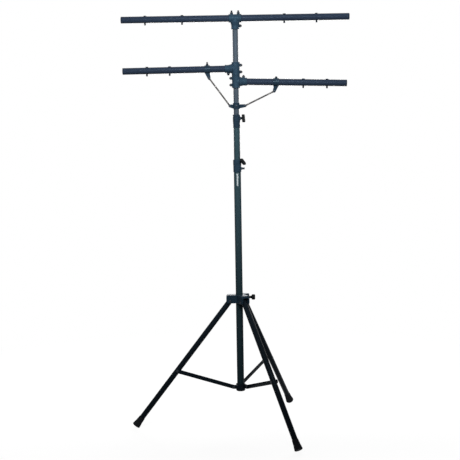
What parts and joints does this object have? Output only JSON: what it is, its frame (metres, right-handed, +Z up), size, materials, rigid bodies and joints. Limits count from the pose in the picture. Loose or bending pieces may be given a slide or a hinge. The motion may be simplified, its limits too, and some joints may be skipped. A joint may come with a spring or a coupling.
{
  "type": "lighting stand",
  "caption": "Folding tripod lighting stand with a telescoping mast, a T-bar on top and braced side arms drilled for lamps.",
  "frame": {"origin": "on the floor, under the middle of the mast and of the T-bar", "axes": "+Z up along the mast; +X along the T-bar, towards the lower side arm; the left leg points along -X"},
  "size_m": [1.209, 1.0354, 2.2463],
  "materials": {
    "mast_paint": "satin black powder coat with a blue-grey sheen on steel tube",
    "bar_paint": "satin black powder coat on steel tube",
    "casting_paint": "dark blue-black paint on cast metal",
    "black_plastic": "moulded black plastic",
    "nylon": "dark grey nylon",
    "rubber": "moulded black rubber",
    "black_steel": "blackened steel",
    "grey_steel": "dull bare steel"
  },
  "bodies": {
    "base": {"lower_tube": "mast_paint", "brace_hub": "casting_paint", "lower_end_plug": "black_plastic", "hub_pin_left": "black_steel", "hub_pin_front": "black_steel", "hub_pin_back": "black_steel", "lower_clamp_collar": "casting_paint", "lower_guide_bush": "nylon"},
    "leg_collar": {"leg_collar": "casting_paint", "leg_pin_left": "black_steel", "leg_pin_front": "black_steel", "leg_pin_back": "black_steel"},
    "leg_collar_knob": {"leg_collar_knob": "black_plastic"},
    "leg_left": {"leg_left": "mast_paint", "foot_left": "rubber", "leg_rivet_left": "black_steel"},
    "leg_front": {"leg_front": "mast_paint", "foot_front": "rubber", "leg_rivet_front": "black_steel"},
    "leg_back": {"leg_back": "mast_paint", "foot_back": "rubber", "leg_rivet_back": "black_steel"},
    "brace_left": {"brace_left": "mast_paint"},
    "brace_front": {"brace_front": "mast_paint"},
    "brace_back": {"brace_back": "mast_paint"},
    "lower_clamp_knob": {"lower_clamp_knob": "black_plastic"},
    "index_plunger": {"index_plunger": "black_steel"},
    "middle_stage": {"middle_tube": "mast_paint", "upper_clamp_collar": "casting_paint", "upper_guide_bush": "nylon"},
    "upper_clamp_knob": {"upper_clamp_knob": "black_plastic"},
    "top_stage": {"top_tube": "mast_paint"},
    "t_bar": {"top_tee": "casting_paint", "t_bar": "bar_paint", "t_bar_cap_left": "black_plastic", "t_bar_cap_right": "black_plastic", "t_bar_bolt_1": "black_steel", "t_bar_bolt_2": "black_steel", "t_bar_bolt_3": "black_steel", "t_bar_bolt_4": "black_steel"},
    "side_arms": {"left_tee": "casting_paint", "left_arm": "bar_paint", "left_arm_cap": "black_plastic", "left_arm_bolt_1": "black_steel", "left_arm_bolt_2": "black_steel", "left_strap": "casting_paint", "left_brace_rod": "grey_steel", "left_rod_pin_lower": "black_steel", "left_rod_pin_upper": "black_steel", "right_tee": "casting_paint", "right_arm": "bar_paint", "right_arm_cap": "black_plastic", "right_arm_bolt_1": "black_steel", "right_arm_bolt_2": "black_steel", "right_strap": "casting_paint", "right_brace_rod": "grey_steel", "right_rod_pin_lower": "black_steel", "right_rod_pin_upper": "black_steel", "brace_collar": "casting_paint"}
  },
  "joints": [
    {"name": "leg_collar_slide", "type": "slide", "parent": "base", "child": "leg_collar", "axis": [0, 0, 1], "range_m": [0, 0.325]},
    {"name": "leg_fold_left", "type": "hinge", "parent": "leg_collar", "child": "leg_left", "pos_m": [-0.05, 0, 0.69607], "axis": [0, -1, 0], "range_deg": [0, 36.12]},
    {"name": "brace_fold_left", "type": "hinge", "parent": "base", "child": "brace_left", "pos_m": [-0.038, 0, 0.22429], "axis": [0, 1, 0], "range_deg": [0, 68.89]},
    {"name": "leg_fold_front", "type": "hinge", "parent": "leg_collar", "child": "leg_front", "pos_m": [0.025, -0.0433, 0.69607], "axis": [0.866, 0.5, 0], "range_deg": [0, 36.12]},
    {"name": "brace_fold_front", "type": "hinge", "parent": "base", "child": "brace_front", "pos_m": [0.019, -0.03291, 0.22429], "axis": [-0.866, -0.5, 0], "range_deg": [0, 68.89]},
    {"name": "leg_fold_back", "type": "hinge", "parent": "leg_collar", "child": "leg_back", "pos_m": [0.025, 0.0433, 0.69607], "axis": [-0.866, 0.5, 0], "range_deg": [0, 36.12]},
    {"name": "brace_fold_back", "type": "hinge", "parent": "base", "child": "brace_back", "pos_m": [0.019, 0.03291, 0.22429], "axis": [0.866, -0.5, 0], "range_deg": [0, 68.89]},
    {"name": "leg_collar_knob_turn", "type": "hinge", "parent": "leg_collar", "child": "leg_collar_knob", "pos_m": [0, 0, 0.71507], "axis": [1, 0, 0], "range_deg": [0, 360]},
    {"name": "lower_clamp_knob_turn", "type": "hinge", "parent": "base", "child": "lower_clamp_knob", "pos_m": [0, 0, 1.44929], "axis": [0.7314, -0.682, 0], "range_deg": [0, 360]},
    {"name": "index_plunger_pull", "type": "slide", "parent": "base", "child": "index_plunger", "axis": [1, 0, 0], "range_m": [0, 0.008], "stiffness_N_per_m": 500, "springref_m": -0.006},
    {"name": "middle_stage_slide", "type": "slide", "parent": "base", "child": "middle_stage", "axis": [0, 0, 1], "range_m": [-0.17, 0.4]},
    {"name": "upper_clamp_knob_turn", "type": "hinge", "parent": "middle_stage", "child": "upper_clamp_knob", "pos_m": [0, 0, 1.67929], "axis": [0.9659, -0.2588, 0], "range_deg": [0, 360]},
    {"name": "top_stage_slide", "type": "slide", "parent": "middle_stage", "child": "top_stage", "axis": [0, 0, 1], "range_m": [-0.029, 0.15]},
    {"name": "t_bar_swivel", "type": "hinge", "parent": "top_stage", "child": "t_bar", "pos_m": [0, 0, 2.20579], "axis": [0, 0, 1], "continuous": true},
    {"name": "side_arms_swivel", "type": "hinge", "parent": "top_stage", "child": "side_arms", "pos_m": [0, 0, 1.87381], "axis": [0, 0, 1], "continuous": true}
  ],
  "couplings": [
    {"joint": "leg_fold_left", "follows": "leg_collar_slide", "rad_per_m": 1.9363},
    {"joint": "brace_fold_left", "follows": "leg_collar_slide", "rad_per_m": 3.6939},
    {"joint": "leg_fold_front", "follows": "leg_collar_slide", "rad_per_m": 1.9363},
    {"joint": "brace_fold_front", "follows": "leg_collar_slide", "rad_per_m": 3.6939},
    {"joint": "leg_fold_back", "follows": "leg_collar_slide", "rad_per_m": 1.9363},
    {"joint": "brace_fold_back", "follows": "leg_collar_slide", "rad_per_m": 3.6939}
  ]
}
